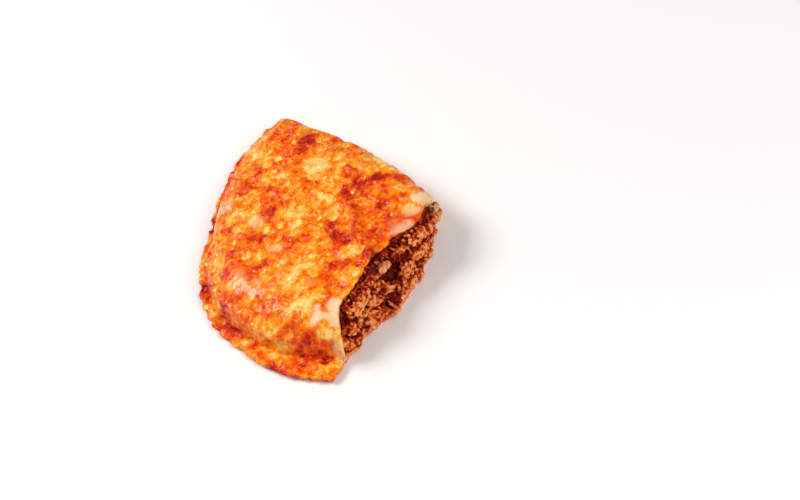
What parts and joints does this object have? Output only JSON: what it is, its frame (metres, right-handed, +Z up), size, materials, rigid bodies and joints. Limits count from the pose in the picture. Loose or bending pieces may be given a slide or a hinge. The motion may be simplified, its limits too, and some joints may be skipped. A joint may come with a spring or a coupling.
{
  "type": "cheburek half",
  "caption": "Torn half of a fried half-moon meat pie: a folded blistered dough crust with a crimped rim round a minced meat filling.",
  "frame": {"origin": "centre of the bounding box in plan, on the surface the pie rests on", "axes": "+Z up, +Y along the folded edge from the torn side to the tip, -X towards the crimped rim, -Y out of the torn side"},
  "size_m": [0.1114, 0.1442, 0.0267],
  "materials": {
    "fried_dough": "oily",
    "minced_meat": "moist"
  },
  "bodies": {
    "root": {"crust": "fried_dough", "filling": "minced_meat"}
  },
  "joints": []
}
